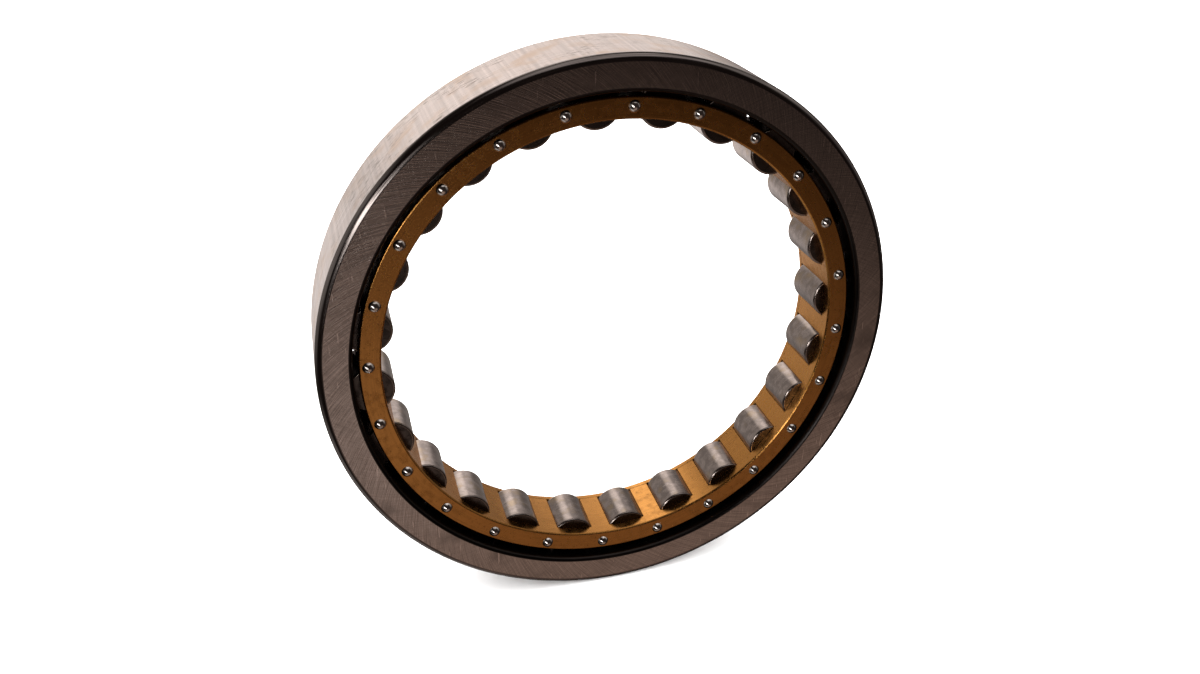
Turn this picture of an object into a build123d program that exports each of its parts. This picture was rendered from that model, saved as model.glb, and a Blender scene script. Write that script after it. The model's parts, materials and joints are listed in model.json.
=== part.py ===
"""Cylindrical roller bearing that runs straight on a hardened shaft.

The bearing stands upright as it runs: its axis is level, along Y, and its centre is the origin. A
flanged outer ring carries one row of cylindrical rollers. A two-piece brass cage, a comb and a cover
ring held together by rivets through its crossbars, keeps the rollers evenly spaced. There is no inner
ring. All sizes are in millimetres.

The comb's solid ring is at the front, the -Y side. A depth is measured along the axis from the middle
of the bearing towards the front, and an angle from +X up towards +Z.
"""

import os
from math import cos, radians, sin

from build123d import *

# Boundary sizes
outer_diameter = 225.0
bearing_width = 35.0
outer_corner = 2.7          # rounded edges between the outside and the side faces
inner_corner = 1.5          # rounded edges between the side faces and the flange bore

# Outer ring
ring_wall = 9.7             # from the outside in to the raceway
flange_height = 3.4         # how far each flange stands in from the raceway
flange_chamfer = 0.4        # broken edge of each flange beside the rollers
relief_radius = 0.6         # undercut where the raceway meets each flange

# Rollers
roller_count = 24
roller_diameter = 18.0
roller_length = 19.0
roller_corner = 0.8
raceway_clearance = 0.05    # between a roller and the raceway
flange_clearance = 0.05     # between a roller's end and a flange

# Cage
comb_ring_thickness = 4.5   # the solid ring that joins the crossbars
cover_ring_thickness = 2.6  # the flat ring riveted over the open pockets
cage_outer_gap = 2.1        # between the cage and the flange bore
cage_inner_gap = 4.35       # between the cage and the shaft
cage_chamfer = 0.5          # broken outer and inner edges of the cage's two faces
pocket_clearance = 0.1      # between a roller and its round pocket
pocket_end_gap = 0.1        # between a roller's end and the comb ring
pocket_play = 1.1           # between a roller's other end and the cover ring
first_roller_angle = 4.1    # where the cage stands at rest: the first roller is just above +X

# Rivets
rivet_shank_diameter = 3.0
rivet_head_diameter = 4.6
rivet_head_height = 1.5
rivet_hole_clearance = 0.05

# Radii measured from the bearing's axis
outer_radius = outer_diameter / 2
raceway_radius = outer_radius - ring_wall
flange_radius = raceway_radius - flange_height
pitch_radius = raceway_radius - raceway_clearance - roller_diameter / 2
shaft_radius = pitch_radius - roller_diameter / 2
cage_outer_radius = flange_radius - cage_outer_gap
cage_bore_radius = shaft_radius + cage_inner_gap
pocket_radius = roller_diameter / 2 + pocket_clearance
rivet_hole_radius = rivet_shank_diameter / 2 + rivet_hole_clearance

# Depths along the axis, towards the front
track_width = roller_length + 2 * flange_clearance
comb_inner_depth = roller_length / 2 + pocket_end_gap
comb_face_depth = comb_inner_depth + comb_ring_thickness
cover_inner_depth = -roller_length / 2 - pocket_play
cover_face_depth = cover_inner_depth - cover_ring_thickness

# Rollers and rivets take turns round the pitch circle
roller_spacing = 360 / roller_count
first_rivet_angle = first_roller_angle + roller_spacing / 2

# Profiles are drawn with the radius across and the depth upwards
profile_plane = Plane(origin=(0, 0, 0), x_dir=(1, 0, 0), z_dir=(0, 0, -1))


def make_outer_ring():
    """Ring turned from one profile: two flanges with the raceway sunk between them."""
    with BuildPart() as ring:
        with BuildSketch(profile_plane) as section:
            with Locations(((flange_radius + outer_radius) / 2, 0)):
                Rectangle(outer_radius - flange_radius, bearing_width)
            fillet(section.vertices().group_by(Axis.X)[-1], outer_corner)
            fillet(section.vertices().group_by(Axis.X)[0], inner_corner)
            with Locations((raceway_radius - flange_height, 0)):
                Rectangle(2 * flange_height, track_width, mode=Mode.SUBTRACT)
            track_half = track_width / 2 + flange_chamfer
            track_corners = section.vertices().filter_by_position(Axis.Y, -track_half, track_half)
            chamfer(track_corners.group_by(Axis.X)[0], flange_chamfer)
            with Locations((raceway_radius, track_width / 2), (raceway_radius, -track_width / 2)):
                Circle(relief_radius, mode=Mode.SUBTRACT)
        revolve(axis=Axis.Y)
    return ring.part


def make_cage_comb():
    """Comb: a ring with one crossbar between each two rollers, bored with round blind pockets."""
    with BuildPart() as comb:
        with BuildSketch(Plane.XZ.offset(cover_inner_depth)):
            Circle(cage_outer_radius)
            Circle(cage_bore_radius, mode=Mode.SUBTRACT)
        extrude(amount=comb_face_depth - cover_inner_depth)
        chamfer(comb.faces().sort_by(Axis.Y)[0].edges(), cage_chamfer)
        with BuildSketch(Plane.XZ.offset(cover_inner_depth)):
            with PolarLocations(pitch_radius, roller_count, start_angle=first_roller_angle):
                Circle(pocket_radius)
        extrude(amount=comb_inner_depth - cover_inner_depth, mode=Mode.SUBTRACT)
        with BuildSketch(Plane.XZ.offset(cover_inner_depth)):
            with PolarLocations(pitch_radius, roller_count, start_angle=first_rivet_angle):
                Circle(rivet_hole_radius)
        extrude(amount=comb_face_depth - cover_inner_depth, mode=Mode.SUBTRACT)
    return comb.part


def make_cage_cover_ring():
    """Flat ring that closes the open ends of the pockets."""
    with BuildPart() as cover:
        with BuildSketch(Plane.XZ.offset(cover_face_depth)):
            Circle(cage_outer_radius)
            Circle(cage_bore_radius, mode=Mode.SUBTRACT)
        extrude(amount=cover_ring_thickness)
        chamfer(cover.faces().sort_by(Axis.Y)[-1].edges(), cage_chamfer)
        with BuildSketch(Plane.XZ.offset(cover_face_depth)):
            with PolarLocations(pitch_radius, roller_count, start_angle=first_rivet_angle):
                Circle(rivet_hole_radius)
        extrude(amount=cover_ring_thickness, mode=Mode.SUBTRACT)
    return cover.part


def make_rivet():
    """One rivet, its depths along Z: a straight shank with a domed head on each face of the cage."""
    shank_radius = rivet_shank_diameter / 2
    head_radius = rivet_head_diameter / 2
    comb_pole = (0, comb_face_depth + rivet_head_height)
    cover_pole = (0, cover_face_depth - rivet_head_height)
    with BuildPart() as rivet:
        with BuildSketch(Plane.XZ):
            with BuildLine():
                TangentArc(comb_pole, (head_radius, comb_face_depth), tangent=(1, 0))
                Polyline(
                    (head_radius, comb_face_depth),
                    (shank_radius, comb_face_depth),
                    (shank_radius, cover_face_depth),
                    (head_radius, cover_face_depth),
                )
                TangentArc(cover_pole, (head_radius, cover_face_depth), tangent=(1, 0))
                Line(cover_pole, comb_pole)
            make_face()
        revolve(axis=Axis.Z)
    return rivet.part


def make_cage_rivets():
    """All the rivets, one through the middle of each crossbar."""
    rivet = make_rivet()
    with BuildPart(Plane.XZ) as rivets:
        with PolarLocations(pitch_radius, roller_count, start_angle=first_rivet_angle):
            add(rivet)
    return rivets.part


def make_roller(angle):
    """One roller with rounded end corners, standing on the pitch circle at this angle in degrees."""
    centre = (pitch_radius * cos(radians(angle)), 0, pitch_radius * sin(radians(angle)))
    with BuildPart(Plane(origin=centre, z_dir=(0, -1, 0))) as roller:
        Cylinder(roller_diameter / 2, roller_length)
        fillet(roller.edges().filter_by(GeomType.CIRCLE), roller_corner)
    return roller.part


def save(part, name):
    """Label one finished piece and write it to its own file."""
    part.label = name
    export_step(part, f"parts/{name}.step")


os.makedirs("parts", exist_ok=True)
save(make_outer_ring(), "outer_ring")
save(make_cage_comb(), "cage_comb")
save(make_cage_cover_ring(), "cage_cover_ring")
save(make_cage_rivets(), "cage_rivets")
for number in range(roller_count):
    save(make_roller(first_roller_angle + number * roller_spacing), f"roller_{number + 1:02d}")
print(f"outer diameter {outer_diameter:.2f}, shaft diameter under the rollers {2 * shaft_radius:.2f}")
print(f"raceway diameter {2 * raceway_radius:.2f}, pitch diameter {2 * pitch_radius:.2f}")
print(f"cage turns the rollers by {-(pitch_radius / (roller_diameter / 2) + 1):.4f} per turn of its own")
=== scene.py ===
"""Looks of a cylindrical roller bearing: ground steel, machined brass and polished rivets.

The bearing's axis is level, along Y, and its front is the -Y side. Every shape here goes round that
axis. A depth is measured along the axis from the middle of the bearing towards the front, a radius
from the axis, and an angle from +X up towards +Z. Lengths are metres.
"""

import json

import bmesh
import bpy
import numpy as np
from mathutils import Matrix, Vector


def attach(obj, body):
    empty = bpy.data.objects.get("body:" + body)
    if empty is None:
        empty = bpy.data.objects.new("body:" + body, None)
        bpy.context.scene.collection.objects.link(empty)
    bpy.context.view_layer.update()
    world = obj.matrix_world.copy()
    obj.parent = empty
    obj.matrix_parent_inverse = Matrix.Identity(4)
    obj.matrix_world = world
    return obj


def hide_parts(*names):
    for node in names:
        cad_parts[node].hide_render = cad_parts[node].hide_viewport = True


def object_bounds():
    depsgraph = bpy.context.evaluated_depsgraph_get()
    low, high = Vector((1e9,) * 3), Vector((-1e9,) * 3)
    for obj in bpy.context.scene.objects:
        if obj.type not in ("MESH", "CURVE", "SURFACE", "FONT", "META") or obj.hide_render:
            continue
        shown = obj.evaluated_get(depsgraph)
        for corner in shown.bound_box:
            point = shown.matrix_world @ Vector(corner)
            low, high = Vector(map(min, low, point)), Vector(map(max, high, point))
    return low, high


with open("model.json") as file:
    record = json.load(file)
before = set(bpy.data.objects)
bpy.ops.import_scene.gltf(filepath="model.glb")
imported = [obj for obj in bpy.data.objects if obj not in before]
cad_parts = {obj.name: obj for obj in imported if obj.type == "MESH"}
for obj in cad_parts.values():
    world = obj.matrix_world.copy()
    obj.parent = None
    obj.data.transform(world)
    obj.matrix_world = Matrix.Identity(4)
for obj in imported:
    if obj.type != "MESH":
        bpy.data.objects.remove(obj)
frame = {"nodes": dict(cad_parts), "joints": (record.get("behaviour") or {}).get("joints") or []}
cad_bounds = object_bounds()

bl_info = {
    "name": "Cylindrical Roller Bearing",
    "version": (1, 0, 0),
    "blender": (4, 5, 0),
    "location": "View3D > Sidebar > Bearing",
    "description": "Builds the rings, cage, rivets and rollers of a cylindrical roller bearing",
    "category": "Add Mesh",
}

MM = 0.001


# ---------------------------------------------------------------------------------------------
# What the frame says
# ---------------------------------------------------------------------------------------------

def node_span(node, centre=(0.0, 0.0)):
    """Least and greatest radius about a line along Y, and least and greatest depth, of a CAD node."""
    mesh = frame["nodes"][node].data
    points = np.empty(len(mesh.vertices) * 3)
    mesh.vertices.foreach_get("co", points)
    points = points.reshape(-1, 3)
    radius = np.hypot(points[:, 0] - centre[0], points[:, 2] - centre[1])
    return radius.min(), radius.max(), -points[:, 1].max(), -points[:, 1].min()


ROLLERS = sorted(name for name in frame["nodes"] if name.startswith("roller_"))
ROLLER_PLACES = {joint["child"]: joint["pos_m"] for joint in frame["joints"] if joint["child"] in ROLLERS}
ROLLER_CENTRES = np.array([[ROLLER_PLACES[name][0], ROLLER_PLACES[name][2]] for name in ROLLERS])
ROLLER_ANGLES = np.arctan2(ROLLER_CENTRES[:, 1], ROLLER_CENTRES[:, 0])
ROLLER_RADIUS = node_span(ROLLERS[0], ROLLER_CENTRES[0])[1]
ROLLER_HALF = node_span(ROLLERS[0])[3]
PITCH_RADIUS = float(np.hypot(*ROLLER_CENTRES[0]))
SECTOR = 2 * np.pi / len(ROLLERS)
BAR_ANGLES = ROLLER_ANGLES + SECTOR / 2
FLANGE_RADIUS, OUTER_RADIUS, RING_BACK, RING_FRONT = node_span("outer_ring")
CAGE_BORE, CAGE_OUTER, COMB_END, COMB_FACE = node_span("cage_comb")
COVER_FACE = node_span("cage_cover_ring")[2]
RIVET_LOW, RIVET_TOP = node_span("cage_rivets")[2:]


# ---------------------------------------------------------------------------------------------
# Sizes and colours a user would change
# ---------------------------------------------------------------------------------------------

def length(name, description, millimetres):
    """A length property, given in millimetres and kept in metres."""
    return bpy.props.FloatProperty(name=name, description=description, default=millimetres * MM,
                                   min=0.0, precision=5, unit="LENGTH")


def colour(name, description, code):
    """A colour property, given as an sRGB hex code and kept linear."""
    return bpy.props.FloatVectorProperty(name=name, description=description, default=linear(code),
                                         size=4, min=0.0, max=1.0, subtype="COLOR")


def linear(code):
    """Linear RGB and an alpha of 1 from an sRGB hex code such as #808080."""
    srgb = np.array([int(code[i:i + 2], 16) for i in (1, 3, 5)]) / 255
    rgb = np.where(srgb <= 0.04045, srgb / 12.92, ((srgb + 0.055) / 1.055) ** 2.4)
    return (*(float(value) for value in rgb), 1.0)


class BearingSizes(bpy.types.PropertyGroup):
    """Sizes that the CAD nodes' outlines don't give."""

    outer_corner: length("Outer corner", "Rounding between the outside and a side face", 2.7)
    inner_corner: length("Inner corner", "Rounding between a side face and the flange bore", 1.5)
    edge: length("Edge rounding", "Broken sharp edge of a hardened part", 0.25)
    relief: length("Relief", "Undercut where the raceway meets a flange", 0.5)
    raceway_gap: length("Raceway gap", "Between a roller and the raceway", 0.05)
    flange_gap: length("Flange gap", "Between a roller's end and a flange", 0.05)
    roller_corner: length("Roller corner", "Rounding at a roller's ends", 0.8)
    pocket_gap: length("Pocket gap", "Between a roller and its pocket", 0.1)
    pocket_end_gap: length("Pocket end gap", "Between a roller's end and the comb's ring", 0.1)
    cage_chamfer: length("Cage chamfer", "Broken outer and inner edges of the cage's faces", 0.5)
    cage_edge: length("Cage edge", "Rounding of the cage's machined edges", 0.18)
    rivet_shank: length("Rivet shank", "Diameter of a rivet's shank", 3.0)
    rivet_head: length("Rivet head", "Diameter of a rivet's domed head", 4.6)
    rivet_hole: length("Rivet hole", "Diameter of the holes for the rivets", 3.1)


class BearingColours(bpy.types.PropertyGroup):
    """Colours of the finishes."""

    ring_steel: colour("Ring steel", "Ground side faces and outside of the outer ring", "#C9BFBB")
    corner_steel: colour("Corner steel", "Rounded edges left dark from hardening", "#8C8583")
    roller_steel: colour("Roller steel", "Fine ground rollers", "#ACA29E")
    rivet_steel: colour("Rivet steel", "Polished rivet heads", "#EFEAE7")
    ring_stain: colour("Ring stain", "Handling marks on the outer ring", "#B9A595")
    oil_film: colour("Oil film", "Thin oil on the rollers", "#AC9C8A")
    brass: colour("Brass", "Machined cage", "#E4A45A")
    brass_tarnish: colour("Brass tarnish", "Brown film in the brass", "#CD924E")
    floor: colour("Floor", "Pale studio floor", "#F4F4F4")


# ---------------------------------------------------------------------------------------------
# Surfaces
# ---------------------------------------------------------------------------------------------

def turned(radius, angle, depth):
    """Points round the axis.

    x and z are the radius times the cosine and sine of the angle, and y is minus the depth.
    """
    radius, angle, depth = np.broadcast_arrays(radius, angle, depth)
    return np.stack([radius * np.cos(angle), -depth, radius * np.sin(angle)], -1)


def rounded_outline(corners, radii, steps=6):
    """Closed outline of a polygon, listed anticlockwise, whose corners are arcs that touch both sides.

    An arc's centre lies on the corner's bisector, its radius over the sine of the half angle away, and
    its normals turn evenly from one side's to the next. Returns the points, their outward normals, and
    for each point the number of its corner.
    """
    corners = np.array(corners, float)
    back = np.roll(corners, 1, 0) - corners
    ahead = np.roll(corners, -1, 0) - corners
    back /= np.linalg.norm(back, axis=1, keepdims=True)
    ahead /= np.linalg.norm(ahead, axis=1, keepdims=True)
    half = np.arccos((back * ahead).sum(1)) / 2
    radii = np.array(radii, float)[:, None]
    middle = (back + ahead) / np.linalg.norm(back + ahead, axis=1, keepdims=True)
    centre = corners + middle * radii / np.sin(half)[:, None]
    first = (corners + back * radii / np.tan(half)[:, None] - centre) / radii
    last = (corners + ahead * radii / np.tan(half)[:, None] - centre) / radii
    sweep = (np.pi - 2 * half)[:, None, None]
    share = np.linspace(0, 1, steps + 1)[None, :, None]
    fan = np.sin((1 - share) * sweep) * first[:, None] + np.sin(share * sweep) * last[:, None]
    fan /= np.sin(sweep)
    outward = np.sign(back[:, 1] * ahead[:, 0] - back[:, 0] * ahead[:, 1])[:, None, None]
    points = centre[:, None] + radii[:, :, None] * fan
    owners = np.repeat(np.arange(len(corners)), steps + 1)
    return points.reshape(-1, 2), (fan * outward).reshape(-1, 2), owners


class Patchwork:
    """Grids of points that together make one closed surface."""

    def __init__(self):
        self.points, self.normals, self.quads, self.zones, self.count = [], [], [], [], 0

    def add(self, grid, zones=0, normals=None, close_rows=False, close_columns=False):
        """Adds a stack of grids of one size, each (rows, columns, 3), with a quad between four neighbours.

        zones gives the material of all its quads, or one number for each row of quads.
        """
        grid = np.asarray(grid)
        grid = grid.reshape(-1, *grid.shape[-3:])
        copies, rows, columns = grid.shape[:3]
        number = self.count + np.arange(copies * rows * columns).reshape(copies, rows, columns)
        if close_rows:
            number = np.concatenate([number, number[:, :1]], 1)
        if close_columns:
            number = np.concatenate([number, number[:, :, :1]], 2)
        quads = np.stack([number[:, :-1, :-1], number[:, :-1, 1:], number[:, 1:, 1:], number[:, 1:, :-1]], -1)
        zones = np.broadcast_to(np.reshape(zones, (1, -1, 1)), quads.shape[:3])
        self.points.append(grid.reshape(-1, 3))
        self.normals.append(np.zeros((copies * rows * columns, 3)) if normals is None
                            else np.asarray(normals).reshape(-1, 3))
        self.quads.append(quads.reshape(-1, 4))
        self.zones.append(zones.reshape(-1))
        self.count += copies * rows * columns

    def mesh(self, name, materials):
        """A mesh of all the grids as they stand."""
        mesh = bpy.data.meshes.new(name)
        mesh.from_pydata(np.concatenate(self.points), [], np.concatenate(self.quads).tolist())
        mesh.polygons.foreach_set("material_index", np.concatenate(self.zones).astype(np.int32))
        for material in materials:
            mesh.materials.append(material)
        return mesh


def turn_outline(patches, outline, normals, zones, segments, close):
    """Carries an outline of radius and depth once round the axis: one row for each point of the outline."""
    angle = np.linspace(0, 2 * np.pi, segments, endpoint=False)[None, :]
    grid = turned(outline[:, :1], angle, outline[:, 1:])
    away = turned(normals[:, :1], angle, normals[:, 1:])
    patches.add(grid, zones, away, close_rows=close, close_columns=True)


def weld(mesh, gap=2e-6):
    """Merges the points where grids meet and turns every face outwards."""
    work = bmesh.new()
    work.from_mesh(mesh)
    bmesh.ops.remove_doubles(work, verts=work.verts, dist=gap)
    bmesh.ops.dissolve_degenerate(work, edges=work.edges, dist=gap / 2)
    bmesh.ops.recalc_face_normals(work, faces=work.faces)
    loose = [edge for edge in work.edges if len(edge.link_faces) != 2]
    if loose:
        raise RuntimeError(f"{mesh.name} has {len(loose)} edges without two faces")
    work.to_mesh(mesh)
    work.free()


def smooth(mesh, sharp_degrees=30):
    """Smooth shading, with edges kept sharp where faces meet at more than this angle."""
    mesh.shade_smooth()
    mesh.set_sharp_from_angle(angle=np.radians(sharp_degrees))


def place(mesh, body, cad_node):
    """A finished piece that rides on its body and stands for a CAD node."""
    piece = bpy.data.objects.new(mesh.name, mesh)
    bpy.context.scene.collection.objects.link(piece)
    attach(piece, body)
    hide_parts(cad_node)
    return piece


# ---------------------------------------------------------------------------------------------
# Materials: patterns are laid out in millimetres of Object coordinates
# ---------------------------------------------------------------------------------------------

def node(tree, kind, inputs=None, **properties):
    """Adds a node with its properties. An input given a socket is linked, and any other gets the value."""
    made = tree.nodes.new("ShaderNode" + kind)
    for name, value in properties.items():
        setattr(made, name, value)
    for name, value in (inputs or {}).items():
        if isinstance(value, bpy.types.NodeSocket):
            tree.links.new(value, made.inputs[name])
        else:
            made.inputs[name].default_value = value
    return made


def metal(name, colour_value, roughness):
    """A bare metal: returns the material, its tree and its shader, which keeps the default IOR."""
    material = bpy.data.materials.new(name)
    material.use_nodes = True
    tree = material.node_tree
    shader = tree.nodes["Principled BSDF"]
    shader.inputs["Base Color"].default_value = colour_value
    shader.inputs["Metallic"].default_value = 1.0
    shader.inputs["Roughness"].default_value = roughness
    return material, tree, shader


def millimetres(tree):
    """Place on the piece, in millimetres: the vector, its x, y and z, and the distance from the axis."""
    vector = node(tree, "VectorMath", {0: node(tree, "TexCoord").outputs["Object"], "Scale": 1 / MM},
                  operation="SCALE").outputs[0]
    split = node(tree, "SeparateXYZ", {0: vector}).outputs
    level = node(tree, "VectorMath", {0: vector, 1: (1, 0, 1)}, operation="MULTIPLY").outputs[0]
    radius = node(tree, "VectorMath", {0: level}, operation="LENGTH").outputs["Value"]
    return vector, split, level, radius


def turning_marks(tree, across, along, detail=2):
    """Streaks round the axis, such as a lathe or a grinding wheel leaves, by their width and length in mm.

    The noise runs fast over distance from the axis plus depth, so the streaks are rings on a flat face
    and hoops on a bore, and slowly over the other two ways.
    """
    _, split, _, radius = millimetres(tree)
    fine = node(tree, "Math", {0: radius, 1: split[1]}, operation="ADD").outputs[0]
    fine = node(tree, "Math", {0: fine, 1: 1 / across}, operation="MULTIPLY").outputs[0]
    slow = [node(tree, "Math", {0: split[n], 1: 1 / along}, operation="MULTIPLY").outputs[0] for n in (0, 2)]
    spot = node(tree, "CombineXYZ", {0: slow[0], 1: fine, 2: slow[1]}).outputs[0]
    return node(tree, "TexNoise", {"Vector": spot, "Scale": 1.0, "Detail": detail}).outputs["Fac"]


def sweeping_marks(tree, across, along, lean, middle):
    """Arcs that a cup wheel leaves across a flat face, by their width and length in mm.

    Each place is turned round the axis by its distance past the middle radius times tan(lean) over that
    radius, and the noise is read on the circle of that radius, so it is constant along a leaning arc.
    """
    _, _, level, radius = millimetres(tree)
    past = node(tree, "Math", {0: radius, 1: middle / MM}, operation="SUBTRACT").outputs[0]
    turn = np.tan(np.radians(lean)) / (middle / MM)
    angle = node(tree, "Math", {0: past, 1: turn}, operation="MULTIPLY").outputs[0]
    around = node(tree, "VectorMath", {0: level}, operation="NORMALIZE").outputs[0]
    around = node(tree, "VectorRotate", {"Vector": around, "Angle": angle}, rotation_type="Y_AXIS").outputs[0]
    around = node(tree, "VectorMath", {0: around, "Scale": middle / MM / across}, operation="SCALE")
    drift = node(tree, "Math", {0: past, 1: 1 / along}, operation="MULTIPLY").outputs[0]
    drift = node(tree, "CombineXYZ", {1: drift}).outputs[0]
    spot = node(tree, "VectorMath", {0: around.outputs[0], 1: drift}, operation="ADD").outputs[0]
    return node(tree, "TexNoise", {"Vector": spot, "Scale": 1.0, "Detail": 2.0}).outputs["Fac"]


def patches_of(tree, size, low, high, detail=4, squash=(1, 1, 1)):
    """Soft-edged blotches of a size in mm, from 0 where the noise is under low to 1 where it is over high."""
    spot = node(tree, "VectorMath", {0: millimetres(tree)[0], 1: squash}, operation="MULTIPLY").outputs[0]
    noise = node(tree, "TexNoise", {"Vector": spot, "Scale": 1 / size, "Detail": detail}).outputs["Fac"]
    return node(tree, "MapRange", {"Value": noise, "From Min": low, "From Max": high},
                interpolation_type="SMOOTHSTEP").outputs[0]


def spread(tree, value, low, high):
    """A pattern of about 0.3 to 0.7 drawn out to run from low to high."""
    return node(tree, "MapRange", {"Value": value, "From Min": 0.3, "From Max": 0.7, "To Min": low,
                                   "To Max": high}).outputs[0]


def tint(tree, share, first, second):
    """The first colour going over to the second."""
    return node(tree, "Mix", {0: share, 6: first, 7: second}, data_type="RGBA").outputs[2]


def relief(tree, shader, height, depth):
    """Marks of a depth in millimetres."""
    bump = node(tree, "Bump", {"Height": height, "Strength": 1.0, "Distance": depth * MM})
    tree.links.new(bump.outputs[0], shader.inputs["Normal"])


def shade(colour_value, amount):
    """A colour made darker or lighter by a factor."""
    return tuple(channel * amount for channel in colour_value[:3]) + (1.0,)


def ground_face_steel():
    """Hardened bearing steel, face-ground by a cup wheel: grey-brown satin with fine crossing arcs.

    Grinding lines are a few hundredths of a millimetre apart; they are drawn half a millimetre apart, as
    coarse as it takes for them to show.
    """
    colours = bpy.context.scene.bearing_colours
    steel = tuple(colours.ring_steel)
    material, tree, shader = metal("bearing_steel_ground_face", steel, 0.3)
    middle = (FLANGE_RADIUS + OUTER_RADIUS) / 2
    strong, faint = [sweeping_marks(tree, 0.5, 8, lean, middle) for lean in (46, -40)]
    both = node(tree, "Mix", {0: 0.3, 2: strong, 3: faint}, data_type="FLOAT").outputs[0]
    lines = spread(tree, both, 0.0, 1.0)
    colour_value = tint(tree, lines, shade(steel, 0.64), shade(steel, 1.16))
    stains = patches_of(tree, 16, 0.55, 0.75)
    colour_value = tint(tree, stains, colour_value, shade(steel, 0.6))
    scratches = patches_of(tree, 1.1, 0.68, 0.74, detail=1, squash=(1, 1, 0.14))
    colour_value = tint(tree, scratches, colour_value, shade(steel, 1.35))
    tree.links.new(colour_value, shader.inputs["Base Color"])
    tree.links.new(spread(tree, both, 0.24, 0.16), shader.inputs["Roughness"])
    relief(tree, shader, both, 0.06)
    return material


def ground_outside_steel():
    """Bearing steel, centreless-ground outside: pale satin with hoops, handling marks and faint stains."""
    colours = bpy.context.scene.bearing_colours
    steel = tuple(colours.ring_steel)
    material, tree, shader = metal("bearing_steel_ground_outside", steel, 0.3)
    hoops = turning_marks(tree, 0.45, 26)
    ripple = sweeping_marks(tree, 1.6, 40, 0, OUTER_RADIUS)
    worn = patches_of(tree, 11, 0.45, 0.7)
    colour_value = tint(tree, spread(tree, hoops, 0, 1), shade(steel, 0.9), shade(steel, 1.3))
    colour_value = tint(tree, spread(tree, ripple, 0, 0.7), colour_value, shade(steel, 0.56))
    colour_value = tint(tree, worn, colour_value, tuple(colours.ring_stain))
    scored = turning_marks(tree, 0.6, 4, 3)
    scored = node(tree, "MapRange", {"Value": scored, "From Min": 0.53, "From Max": 0.64},
                  interpolation_type="SMOOTHSTEP").outputs[0]
    handled = patches_of(tree, 14, 0.5, 0.6, detail=2)
    scored = node(tree, "Math", {0: scored, 1: handled}, operation="MULTIPLY").outputs[0]
    colour_value = tint(tree, scored, colour_value, shade(colours.ring_stain, 0.35))
    tree.links.new(colour_value, shader.inputs["Base Color"])
    tree.links.new(spread(tree, hoops, 0.26, 0.38), shader.inputs["Roughness"])
    relief(tree, shader, hoops, 0.006)
    return material


def hardened_corner_steel():
    """Bearing steel corners, turned before hardening and left dark: glossy, with streaks round them."""
    steel = tuple(bpy.context.scene.bearing_colours.corner_steel)
    material, tree, shader = metal("bearing_steel_hardened_corner", steel, 0.15)
    streaks = turning_marks(tree, 0.35, 18)
    tree.links.new(tint(tree, spread(tree, streaks, 0, 1), shade(steel, 0.45), shade(steel, 1.2)),
                   shader.inputs["Base Color"])
    tree.links.new(spread(tree, streaks, 0.12, 0.19), shader.inputs["Roughness"])
    relief(tree, shader, streaks, 0.004)
    return material


def honed_raceway_shaded_steel():
    """Bearing steel, honed where the rollers run and oiled, its colour darkened to near black as painted
    shade in its recess.
    """
    steel = tuple(bpy.context.scene.bearing_colours.corner_steel)
    material, tree, shader = metal("bearing_steel_honed_raceway", steel, 0.35)
    hoops = turning_marks(tree, 0.4, 30)
    # 0.1 to 0.2 of the corner steel: painted shade of the recess under the cage.
    tree.links.new(tint(tree, spread(tree, hoops, 0, 1), shade(steel, 0.1), shade(steel, 0.2)),
                   shader.inputs["Base Color"])
    tree.links.new(spread(tree, hoops, 0.3, 0.42), shader.inputs["Roughness"])
    return material


def turned_brass(name, mark_width, low_roughness, high_roughness, dullness, painted_shade_factor=1.0):
    """Cast machining brass: golden satin with the lathe's rings, clouded by a thin brown tarnish."""
    colours = bpy.context.scene.bearing_colours
    # The last factor darkens both colours as painted shade; 1.0 leaves them as they are.
    gold, tarnish = shade(colours.brass, painted_shade_factor), shade(colours.brass_tarnish, painted_shade_factor)
    material, tree, shader = metal(name, gold, low_roughness)
    rings = turning_marks(tree, mark_width, 40)
    clouds = patches_of(tree, 3, 0.25, 0.85, detail=6)
    specks = patches_of(tree, 0.8, 0.62, 0.74, detail=2)
    share = node(tree, "Math", {0: clouds, 1: dullness}, operation="MULTIPLY").outputs[0]
    colour_value = tint(tree, spread(tree, rings, 0, 1), shade(gold, 0.86), shade(gold, 1.05))
    colour_value = tint(tree, share, colour_value, tarnish)
    colour_value = tint(tree, specks, colour_value, shade(tarnish, 0.7))
    tree.links.new(colour_value, shader.inputs["Base Color"])
    tree.links.new(spread(tree, clouds, low_roughness, high_roughness), shader.inputs["Roughness"])
    relief(tree, shader, rings, 0.006)
    return material


def cage_brasses():
    """The finishes of a brass cage: its faces (darker, painted shade), its turned rims, its bored pockets,
    and its outside (painted shade).
    """
    # The faces take the same brass darkened by a factor of 0.84 as painted shade.
    return [turned_brass("brass_turned_face", 0.5, 0.22, 0.30, 0.4, 0.84),
            turned_brass("brass_turned_rim", 0.4, 0.24, 0.36, 0.45),
            turned_brass("brass_bored_pocket", 0.3, 0.3, 0.45, 0.9),
            shaded_outside_brass()]


def shaded_outside_brass():
    """Cage brass round the outside, darkened to nearly black as painted shade of the gap under the flanges.
    """
    tarnish = tuple(bpy.context.scene.bearing_colours.brass_tarnish)
    material, tree, shader = metal("brass_oiled_outside", tarnish, 0.5)
    film = patches_of(tree, 4, 0.3, 0.7)
    # Uneven patches from 0.06 to 0.14 of the tarnish colour: painted shade.
    tree.links.new(tint(tree, film, shade(tarnish, 0.06), shade(tarnish, 0.14)), shader.inputs["Base Color"])
    return material


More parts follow.
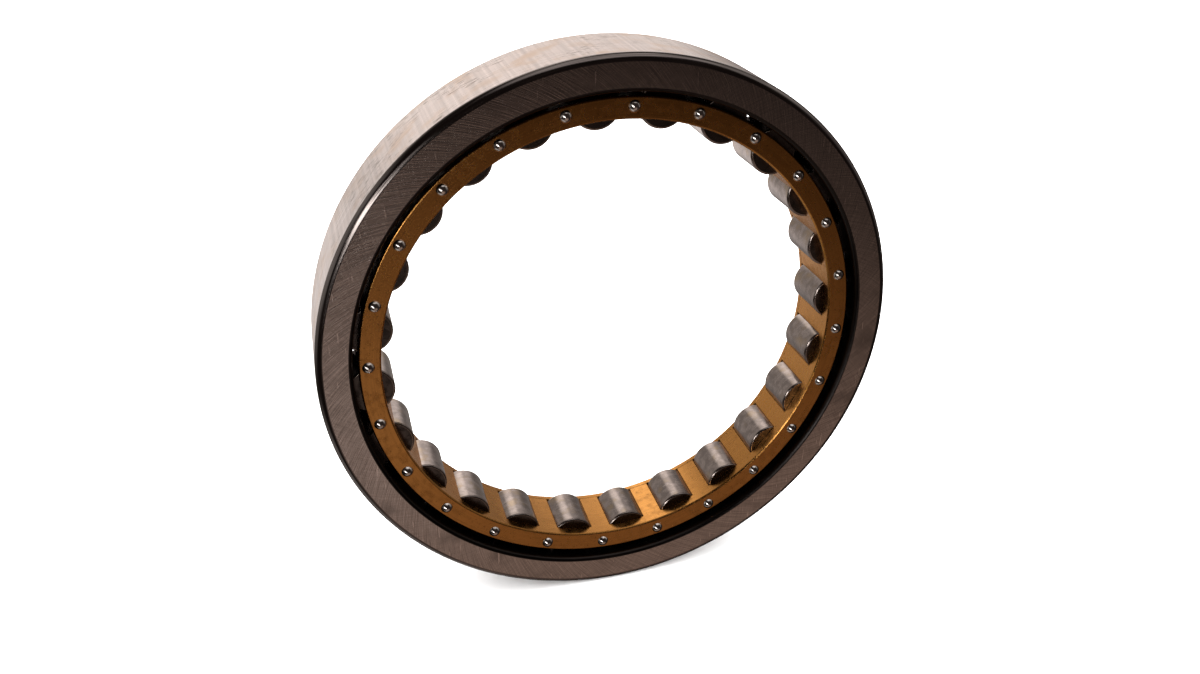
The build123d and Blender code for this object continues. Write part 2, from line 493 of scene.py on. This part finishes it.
def roller_end_steel():
    """Hardened roller steel at the ends: a darker end finish, and painted shade of the gap under the flanges.
    """
    steel = tuple(bpy.context.scene.bearing_colours.roller_steel)
    material, tree, shader = metal("roller_steel_oiled_end", steel, 0.3)
    dull = patches_of(tree, 2.5, 0.35, 0.7)
    # 0.16 to 0.28 of the roller steel: partly a darker end finish, partly painted shade of the gap.
    tree.links.new(tint(tree, dull, shade(steel, 0.28), shade(steel, 0.16)), shader.inputs["Base Color"])
    tree.links.new(spread(tree, dull, 0.26, 0.34), shader.inputs["Roughness"])
    return material


def ground_roller_steel():
    """Hardened roller steel, ground and oiled: mottled grey satin, with faint hoops and a warm film."""
    colours = bpy.context.scene.bearing_colours
    steel, film = tuple(colours.roller_steel), tuple(colours.oil_film)
    material, tree, shader = metal("roller_steel_ground", steel, 0.21)
    spot = node(tree, "VectorMath", {0: millimetres(tree)[0], 1: (0.06, 2.2, 0.06)}, operation="MULTIPLY")
    hoops = node(tree, "TexNoise", {"Vector": spot.outputs[0], "Scale": 1.0, "Detail": 2.0}).outputs["Fac"]
    oil = patches_of(tree, 6, 0.5, 0.72)
    mottle = patches_of(tree, 3, 0.36, 0.64, detail=3)
    colour_value = tint(tree, spread(tree, hoops, 0, 1), shade(steel, 0.9), shade(steel, 1.15))
    colour_value = tint(tree, mottle, colour_value, shade(steel, 0.74))
    colour_value = tint(tree, oil, colour_value, film)
    tree.links.new(colour_value, shader.inputs["Base Color"])
    tree.links.new(spread(tree, hoops, 0.17, 0.25), shader.inputs["Roughness"])
    relief(tree, shader, hoops, 0.003)
    return material


def polished_rivet_steel():
    """Mild steel rivets, closed by a spinning tool that leaves the head bright, with a little grime."""
    steel = tuple(bpy.context.scene.bearing_colours.rivet_steel)
    material, tree, shader = metal("mild_steel_polished_rivet", steel, 0.16)
    grime = patches_of(tree, 0.9, 0.5, 0.7)
    tree.links.new(tint(tree, grime, steel, shade(steel, 0.5)), shader.inputs["Base Color"])
    tree.links.new(spread(tree, grime, 0.13, 0.24), shader.inputs["Roughness"])
    return material


# ---------------------------------------------------------------------------------------------
# Outer ring
# ---------------------------------------------------------------------------------------------

RING_ZONES = ("face", "outside", "corner", "track")


def ring_outline(sizes):
    """Section of the ring, radius against depth, and the zone of each stretch of it.

    It runs up the outside, across the front face, and down the bore past the front flange, the sunken
    raceway between its two undercuts, and the back flange.
    """
    track = ROLLER_HALF + sizes.flange_gap
    raceway = PITCH_RADIUS + ROLLER_RADIUS + sizes.raceway_gap
    cut = sizes.relief
    half_section = [
        ((OUTER_RADIUS, RING_FRONT), sizes.outer_corner, "corner", "face"),
        # The front inner corner takes the raceway finish, near black: painted shade.
        ((FLANGE_RADIUS, RING_FRONT), sizes.inner_corner, "track", "track"),
        ((FLANGE_RADIUS, track), sizes.edge, "corner", "track"),
        ((raceway - cut, track), sizes.edge / 2, "track", "track"),
        ((raceway - cut, track + cut), sizes.edge / 2, "track", "track"),
        ((raceway + cut, track + cut), sizes.edge / 2, "track", "track"),
        ((raceway + cut, track - cut), sizes.edge / 2, "track", "track"),
        ((raceway, track - cut), sizes.edge / 2, "track", "track"),
    ]
    corners = [corner for corner, *_ in half_section]
    corners += [(radius, -depth) for radius, depth in reversed(corners)]
    radii = [radius for _, radius, *_ in half_section]
    radii += radii[::-1]
    arcs = [arc for *_, arc, _ in half_section]
    arcs += arcs[::-1]
    sides = [side for *_, side in half_section[:-1]]
    sides = sides + ["track"] + sides[::-1] + ["outside"]
    points, normals, owners = rounded_outline(corners, radii)
    following = np.roll(owners, -1)
    names = [arcs[a] if a == b else sides[a] for a, b in zip(owners, following)]
    return points, normals, [RING_ZONES.index(name) for name in names]


class BEARING_OT_outer_ring(bpy.types.Operator):
    """Builds the outer ring by turning its section round the axis"""

    bl_idname = "bearing.outer_ring"
    bl_label = "Outer Ring"

    def execute(self, context):
        points, normals, zones = ring_outline(context.scene.bearing_sizes)
        patches = Patchwork()
        turn_outline(patches, points, normals, zones, segments=480, close=True)
        mesh = patches.mesh("outer_ring_ground", [ground_face_steel(), ground_outside_steel(),
                                                  hardened_corner_steel(), honed_raceway_shaded_steel()])
        mesh.shade_smooth()
        mesh.normals_split_custom_set_from_vertices(np.concatenate(patches.normals).tolist())
        place(mesh, "outer_ring", "outer_ring")
        return {"FINISHED"}


# ---------------------------------------------------------------------------------------------
# Cage
# ---------------------------------------------------------------------------------------------

FLOOR_STEPS = 8             # quads across a pocket
LINE_STEPS = 6              # quads across the plate from the bore to the outside, midway between two bars
BAR_STEPS = 8               # quads across a bar, at the bore and at the outside
WALL_STEPS = FLOOR_STEPS + LINE_STEPS
FACE, RIM, POCKET, OUTSIDE = range(4)       # finishes, in the order that cage_brasses lists them


class Pocket:
    """Round pocket centred on the pitch circle, bored along the axis, and the bar beside it.

    A point of the pocket's circle is at squared radius pitch^2 + pocket^2 + 2 pitch pocket cos(t),
    where t is measured at the pocket's centre. The bar is centred on angle 0 of its own sector.
    """

    def __init__(self, sizes):
        pocket = ROLLER_RADIUS + sizes.pocket_gap
        ends = np.array([CAGE_BORE, CAGE_OUTER])
        t = np.arccos((ends ** 2 - PITCH_RADIUS ** 2 - pocket ** 2) / (2 * PITCH_RADIUS * pocket))
        t = np.linspace(t[0], t[1], WALL_STEPS + 1)
        outward, across = PITCH_RADIUS + pocket * np.cos(t), pocket * np.sin(t)
        self.radius = np.hypot(outward, across)
        self.reach = np.arctan2(across, outward)
        self.wall = SECTOR / 2 - self.reach


def arc_line(start, end, steps):
    """Points from start up to end, without end: each is (angle, radius)."""
    share = np.arange(steps)[:, None] / steps
    return np.array(start) * (1 - share) + np.array(end) * share


def bar_loop(pocket):
    """Outline of a bar: along the bore, up one pocket wall, back along the outside, down the other wall."""
    wall = np.stack([pocket.wall, pocket.radius], -1)
    inner, outer = wall[0], wall[-1]
    mirror = np.array([-1, 1])
    return np.concatenate([arc_line(inner * mirror, inner, BAR_STEPS), wall[:-1],
                           arc_line(outer, outer * mirror, BAR_STEPS), (wall * mirror)[:0:-1]])


def plate_loop(pocket, inset):
    """Outline of one bar's share of the plate, with points that pair up with those of the bar's outline."""
    low, high, edge = CAGE_BORE + inset, CAGE_OUTER - inset, SECTOR / 2
    near, far, half = pocket.wall[0], pocket.wall[-1], FLOOR_STEPS // 2
    stops = [((-near, low), BAR_STEPS), ((near, low), half),
             ((edge, low), LINE_STEPS), ((edge, high), half),
             ((far, high), BAR_STEPS), ((-far, high), half),
             ((-edge, high), LINE_STEPS), ((-edge, low), half)]
    ends = [stop for stop, _ in stops[1:]] + [stops[0][0]]
    return np.concatenate([arc_line(start, end, steps) for (start, steps), end in zip(stops, ends)])


def flat(loop):
    """(angle, radius) pairs as plane coordinates, outward along the bar and across it."""
    return np.stack([loop[:, 1] * np.cos(loop[:, 0]), loop[:, 1] * np.sin(loop[:, 0])], -1)


def hole_loop(pocket, sizes):
    """Rim of the rivet hole, each point in the mean direction of its partners on the two outlines."""
    ways = [np.unwrap(np.arctan2(*(flat(loop) - (PITCH_RADIUS, 0)).T[::-1]))
            for loop in (bar_loop(pocket), plate_loop(pocket, 0.0))]
    way = sum(ways) / 2
    return np.array([PITCH_RADIUS, 0]) + sizes.rivet_hole / 2 * np.stack([np.cos(way), np.sin(way)], -1)


def round_sectors(plane, depth):
    """Copies of points in a bar's own plane coordinates, turned to each bar, at a depth."""
    angle = BAR_ANGLES.reshape(-1, *[1] * (plane.ndim - 1))
    x = plane[None, ..., 0] * np.cos(angle) - plane[None, ..., 1] * np.sin(angle)
    z = plane[None, ..., 0] * np.sin(angle) + plane[None, ..., 1] * np.cos(angle)
    return np.stack([x, np.broadcast_to(-np.asarray(depth), x.shape), z], -1)


def add_perforated_face(patches, loop, hole, depth, zone):
    """Flat face from the rim of the hole out to an outline: straight lines join the partners."""
    share = np.linspace(0, 1, 4)[:, None, None]
    plane = hole[None] * (1 - share) + flat(loop)[None] * share
    patches.add(round_sectors(plane, depth), zone, close_columns=True)


def add_wall(patches, loop, depths, zone, close=False):
    """Wall that carries an outline, or a stretch of it, along the axis through the given depths."""
    plane = np.broadcast_to(loop[None], (len(depths), *loop.shape))
    patches.add(round_sectors(plane, np.array(depths)[:, None]), zone, close_columns=close)


def add_rims(patches, pocket, face, inset, back):
    """Bore and outside of a plate, from its back to its chamfered face, with the chamfers."""
    towards = np.sign(face - back)
    full, cut = plate_loop(pocket, 0.0), plate_loop(pocket, inset)
    bore = np.arange(-FLOOR_STEPS // 2, BAR_STEPS + FLOOR_STEPS // 2 + 1)
    outside = bore + BAR_STEPS + FLOOR_STEPS + LINE_STEPS
    for stretch, wall in ((bore, RIM), (outside, OUTSIDE)):
        wide, narrow = flat(full[stretch]), flat(cut[stretch])
        depths = np.array([back, face - towards * inset, face])[:, None]
        patches.add(round_sectors(np.stack([wide, wide, narrow]), depths), [wall, RIM])


def comb_mesh(sizes):
    """The comb: a chamfered plate whose back carries the bars, with a floor at the end of each pocket."""
    pocket, patches = Pocket(sizes), Patchwork()
    hole, bar = hole_loop(pocket, sizes), bar_loop(pocket)
    inner = ROLLER_HALF + sizes.pocket_end_gap
    add_perforated_face(patches, plate_loop(pocket, sizes.cage_chamfer), hole, COMB_FACE, FACE)
    add_rims(patches, pocket, COMB_FACE, sizes.cage_chamfer, inner)
    across = np.linspace(-1, 1, FLOOR_STEPS + 1)[None, :] * pocket.reach[:, None] + SECTOR / 2
    floor = np.stack([pocket.radius[:, None] * np.cos(across), pocket.radius[:, None] * np.sin(across)], -1)
    patches.add(round_sectors(floor, inner), POCKET)
    outline = flat(np.concatenate([bar, bar[:1]]))
    stretches = np.cumsum([0, BAR_STEPS, WALL_STEPS, BAR_STEPS, WALL_STEPS])
    depths = np.linspace(COMB_END, inner, 5)
    for number, zone in enumerate((RIM, POCKET, OUTSIDE, POCKET)):
        add_wall(patches, outline[stretches[number]:stretches[number + 1] + 1], depths, zone)
    add_perforated_face(patches, bar, hole, COMB_END, POCKET)
    add_wall(patches, hole, [COMB_END, COMB_FACE], POCKET, close=True)
    return patches.mesh("cage_comb_machined", cage_brasses())


def cover_mesh(sizes):
    """The cover ring: a flat plate, chamfered on its back."""
    pocket, patches = Pocket(sizes), Patchwork()
    hole = hole_loop(pocket, sizes)
    add_perforated_face(patches, plate_loop(pocket, 0.0), hole, COMB_END, POCKET)
    add_perforated_face(patches, plate_loop(pocket, sizes.cage_chamfer), hole, COVER_FACE, FACE)
    add_rims(patches, pocket, COVER_FACE, sizes.cage_chamfer, COMB_END)
    add_wall(patches, hole, [COVER_FACE, COMB_END], POCKET, close=True)
    return patches.mesh("cage_cover_machined", cage_brasses())


class BEARING_OT_cage(bpy.types.Operator):
    """Builds the comb and the cover ring of the cage"""

    bl_idname = "bearing.cage"
    bl_label = "Cage"

    def execute(self, context):
        sizes = context.scene.bearing_sizes
        for mesh, cad_node in ((comb_mesh(sizes), "cage_comb"), (cover_mesh(sizes), "cage_cover_ring")):
            weld(mesh)
            smooth(mesh)
            piece = place(mesh, "cage", cad_node)
            bevel = piece.modifiers.new("Broken edges", "BEVEL")
            bevel.width = sizes.cage_edge
            bevel.segments = 3
            bevel.limit_method = "ANGLE"
            bevel.angle_limit = np.radians(30)
            bevel.harden_normals = True
        return {"FINISHED"}


# ---------------------------------------------------------------------------------------------
# Rivets and rollers: small solids turned round their own axes
# ---------------------------------------------------------------------------------------------

def spun(centres, outline, segments):
    """Grids of an outline, from one pole to the other, turned round lines along Y at these centres."""
    angle = np.linspace(0, 2 * np.pi, segments, endpoint=False)[None, :]
    grid = turned(outline[:, :1], angle, outline[:, 1:])
    offset = np.stack([centres[:, 0], np.zeros(len(centres)), centres[:, 1]], -1)[:, None, None]
    return grid[None] + offset


def rivet_outline(sizes, steps=14):
    """Half section of a rivet: a spherical cap over each face of the cage and a straight shank between."""
    head, shank = sizes.rivet_head / 2, sizes.rivet_shank / 2
    caps = []
    for face, top in ((COMB_FACE, RIVET_TOP), (COVER_FACE, RIVET_LOW)):
        height = abs(top - face)
        ball = (head ** 2 + height ** 2) / (2 * height)
        tilt = np.linspace(0, np.arcsin(head / ball), steps)
        way = np.sign(top - face)
        caps.append(np.stack([ball * np.sin(tilt), top - way * ball * (1 - np.cos(tilt))], -1))
    shank_line = np.array([(shank, COMB_FACE), (shank, COVER_FACE)])
    return np.concatenate([caps[0], shank_line, caps[1][::-1]])


class BEARING_OT_rivets(bpy.types.Operator):
    """Builds all the rivets, one through each bar of the cage"""

    bl_idname = "bearing.rivets"
    bl_label = "Rivets"

    def execute(self, context):
        outline = rivet_outline(context.scene.bearing_sizes)
        centres = PITCH_RADIUS * np.stack([np.cos(BAR_ANGLES), np.sin(BAR_ANGLES)], -1)
        patches = Patchwork()
        patches.add(spun(centres, outline, segments=32), close_columns=True)
        mesh = patches.mesh("cage_rivets_polished", [polished_rivet_steel()])
        weld(mesh)
        smooth(mesh, 40)
        place(mesh, "cage", "cage_rivets")
        return {"FINISHED"}


def roller_outline(sizes):
    """Half section of a roller: a flat end, a rounded corner, the rolling surface, and the same back.

    Returns the points, and for each stretch between them 1 on a flat end and 0 elsewhere.
    """
    corners = [(-ROLLER_RADIUS, -ROLLER_HALF), (ROLLER_RADIUS, -ROLLER_HALF),
               (ROLLER_RADIUS, ROLLER_HALF), (-ROLLER_RADIUS, ROLLER_HALF)]
    points, normals, owners = rounded_outline(corners, [sizes.roller_corner] * 4, steps=8)
    side = (owners == 1) | (owners == 2)
    poles = np.array([[0, -ROLLER_HALF], [0, ROLLER_HALF]])
    points = np.concatenate([poles[:1], points[side], poles[1:]])
    ends = np.zeros(len(points) - 1, int)
    ends[[0, -1]] = 1
    return points, ends


class BEARING_OT_rollers(bpy.types.Operator):
    """Builds the rollers, each a piece of its own"""

    bl_idname = "bearing.rollers"
    bl_label = "Rollers"

    def execute(self, context):
        outline, ends = roller_outline(context.scene.bearing_sizes)
        steels = [ground_roller_steel(), roller_end_steel()]
        for name, centre in zip(ROLLERS, ROLLER_CENTRES):
            patches = Patchwork()
            patches.add(spun(centre[None], outline, segments=72), ends, close_columns=True)
            mesh = patches.mesh(f"{name}_ground", steels)
            weld(mesh)
            smooth(mesh, 50)
            piece = place(mesh, name, name)
            piece.modifiers.new("Even normals", "WEIGHTED_NORMAL").keep_sharp = True
        return {"FINISHED"}


# ---------------------------------------------------------------------------------------------
# Stage: floor, surroundings, overhead light and camera
# ---------------------------------------------------------------------------------------------

FLOOR_SPREAD = 4.0          # radius of the flat floor, in metres
COVE_RADIUS = 1.0           # radius of the curve from the floor up into the wall behind it
COVE_HEIGHT = 1.6           # height of the wall above that curve
OVERHEAD_SIZE = 8.0         # diameter of the light over the floor, in metres
OVERHEAD_WATTS = 560
OVERHEAD_PLACE = (0, 0.4, 2.2)
CAMERA_LENS = 30.816        # focal length on a sensor 36 mm wide
CAMERA_AZIMUTH = -15.93     # degrees to the right of straight in front
CAMERA_ELEVATION = 28.38    # degrees above level
CAMERA_DISTANCE = 407.7 * MM
CAMERA_TARGET = Vector((-2.84, 0, -2.46)) * MM

# What the metal reflects: the direction of each panel, the cosines where its glow starts and is full,
# and its brightness in red, green and blue
PANELS = [
    # Behind the bearing: what the outside, the rollers and the crossbars reflect to the front
    ((0.09, 0.94, 0.24), 0.86, 0.95, (0.97, 0.885, 0.835)),
    ((-0.60, 0.75, 0.10), 0.72, 0.95, (0.165, 0.15, 0.135)),
    ((-0.04, 0.757, 0.65), 0.955, 0.992, (0.86, 0.79, 0.72)),
    ((-0.10, 0.95, -0.20), 0.895, 0.985, (1.05, 0.98, 0.95)),
    ((0.0, 1.0, 0.0), 0.30, 0.90, (0.26, 0.235, 0.22)),
    # Above and beside it: the rounded edges, and the outside as seen from the sides and from above
    ((0.2, -0.1, 0.97), 0.80, 0.97, (0.74, 0.69, 0.66)),
    ((1.0, 0.1, 0.25), 0.75, 0.97, (0.18, 0.165, 0.155)),
    ((0.8, 0.0, 0.6), 0.89, 0.99, (0.34, 0.32, 0.30)),
    ((-1.0, 0.1, 0.10), 0.80, 0.97, (0.34, 0.32, 0.30)),
    # In front and below: the side face, the cage and the rivets
    ((0.16, -0.68, -0.73), 0.84, 0.97, (0.215, 0.150, 0.118)),
    ((-0.01, -0.84, -0.545), 0.991, 0.9995, (0.23, 0.215, 0.205)),
    ((0.02, -0.94, -0.34), 0.9958, 0.9998, (0.10, 0.093, 0.088)),
    ((-0.42, 0.05, -0.90), 0.80, 0.95, (0.35, 0.33, 0.31)),
    ((-0.49, -0.87, 0.04), 0.95, 0.993, (0.68, 0.64, 0.61)),
]
# A strip light to the left of the camera is a row of small panels between two directions
STRIP_ENDS = ((-0.20, -0.96, -0.175), (-0.72, -0.65, 0.22))
STRIP_PANELS = 9
PANELS += [(tuple(toward), 0.9962, 0.9990, (4.5, 4.3, 4.1))
           for toward in np.linspace(*STRIP_ENDS, STRIP_PANELS)]
AMBIENT = (0.022, 0.016, 0.014)


def surroundings():
    """Soft panels in a dark room.

    A panel's glow rises smoothly with the cosine of the angle from its middle.
    """
    world = bpy.data.worlds.new("studio")
    world.use_nodes = True
    tree = world.node_tree
    direction = node(tree, "TexCoord").outputs["Generated"]
    total = node(tree, "CombineXYZ", {0: AMBIENT[0], 1: AMBIENT[1], 2: AMBIENT[2]}).outputs[0]
    for middle, start, full, light in PANELS:
        toward = tuple(Vector(middle).normalized())
        cosine = node(tree, "VectorMath", {0: direction, 1: toward}, operation="DOT_PRODUCT")
        cosine = cosine.outputs["Value"]
        glow = node(tree, "MapRange", {"Value": cosine, "From Min": start, "From Max": full},
                    interpolation_type="SMOOTHSTEP").outputs[0]
        lit = node(tree, "VectorMath", {0: light, "Scale": glow}, operation="SCALE").outputs[0]
        total = node(tree, "VectorMath", {0: total, 1: lit}, operation="ADD").outputs[0]
    tree.links.new(total, tree.nodes["Background"].inputs["Color"])
    bpy.context.scene.world = world


def floor_mesh(low):
    """A round floor that curves up at its far edge: a flat line, a quarter circle and a wall, spun."""
    bend = np.linspace(0, np.pi / 2, 13)
    radius = np.concatenate([[0.0, 0.5, 1.5], FLOOR_SPREAD + COVE_RADIUS * np.sin(bend),
                             [FLOOR_SPREAD + COVE_RADIUS]])
    height = np.concatenate([[0.0, 0.0, 0.0], COVE_RADIUS * (1 - np.cos(bend)), [COVE_RADIUS + COVE_HEIGHT]])
    angle = np.linspace(0, 2 * np.pi, 128, endpoint=False)[None, :]
    grid = np.stack([radius[:, None] * np.cos(angle), radius[:, None] * np.sin(angle),
                     np.broadcast_to(height[:, None] + low, (len(radius), angle.shape[1]))], -1)
    patches = Patchwork()
    patches.add(grid, close_columns=True)
    return patches


class BEARING_OT_stage(bpy.types.Operator):
    """Adds the floor, the surroundings, the overhead light and the camera"""

    bl_idname = "bearing.stage"
    bl_label = "Stage"

    def execute(self, context):
        scene = context.scene
        scene.view_settings.view_transform = "Standard"
        surroundings()
        low = float(cad_bounds[0][2])
        paper = bpy.data.materials.new("white_paper_floor")
        paper.use_nodes = True
        shader = paper.node_tree.nodes["Principled BSDF"]
        shader.inputs["Base Color"].default_value = tuple(scene.bearing_colours.floor)
        shader.inputs["Roughness"].default_value = 0.9
        shader.inputs["Specular IOR Level"].default_value = 0.0
        mesh = floor_mesh(low).mesh("floor", [paper])
        mesh.shade_smooth()
        floor = bpy.data.objects.new("floor", mesh)
        floor.visible_glossy = False
        scene.collection.objects.link(floor)

        light = bpy.data.lights.new("overhead", "AREA")
        light.shape = "DISK"
        light.size = OVERHEAD_SIZE
        light.energy = OVERHEAD_WATTS
        overhead = bpy.data.objects.new("overhead", light)
        overhead.location = OVERHEAD_PLACE
        overhead.visible_glossy = False
        scene.collection.objects.link(overhead)

        camera = bpy.data.objects.new("camera", bpy.data.cameras.new("camera"))
        camera.data.sensor_width = 36
        camera.data.lens = CAMERA_LENS
        camera.data.clip_start = 0.01
        azimuth, elevation = np.radians(CAMERA_AZIMUTH), np.radians(CAMERA_ELEVATION)
        away = Vector((np.sin(azimuth) * np.cos(elevation), -np.cos(azimuth) * np.cos(elevation),
                       np.sin(elevation)))
        camera.location = CAMERA_TARGET + CAMERA_DISTANCE * away
        camera.rotation_euler = (CAMERA_TARGET - camera.location).to_track_quat("-Z", "Y").to_euler()
        scene.collection.objects.link(camera)
        scene.camera = camera
        return {"FINISHED"}


# ---------------------------------------------------------------------------------------------
# Panel, registration and the run
# ---------------------------------------------------------------------------------------------

class BEARING_PT_builder(bpy.types.Panel):
    """Lists the sizes, the colours and the pieces of the bearing"""

    bl_idname = "BEARING_PT_builder"
    bl_label = "Roller Bearing"
    bl_space_type = "VIEW_3D"
    bl_region_type = "UI"
    bl_category = "Bearing"

    def draw(self, context):
        for settings in (context.scene.bearing_sizes, context.scene.bearing_colours):
            box = self.layout.box()
            for name in settings.__annotations__:
                box.prop(settings, name)
        for operator in OPERATORS:
            self.layout.operator(operator.bl_idname)


OPERATORS = (BEARING_OT_outer_ring, BEARING_OT_cage, BEARING_OT_rivets, BEARING_OT_rollers, BEARING_OT_stage)
CLASSES = (BearingSizes, BearingColours, *OPERATORS, BEARING_PT_builder)


def register():
    for item in CLASSES:
        bpy.utils.register_class(item)
    bpy.types.Scene.bearing_sizes = bpy.props.PointerProperty(type=BearingSizes)
    bpy.types.Scene.bearing_colours = bpy.props.PointerProperty(type=BearingColours)


def unregister():
    del bpy.types.Scene.bearing_colours
    del bpy.types.Scene.bearing_sizes
    for item in reversed(CLASSES):
        bpy.utils.unregister_class(item)


def main():
    register()
    for step in (bpy.ops.bearing.stage, bpy.ops.bearing.outer_ring, bpy.ops.bearing.cage,
                 bpy.ops.bearing.rivets, bpy.ops.bearing.rollers):
        step()


if __name__ == "__main__":
    main()
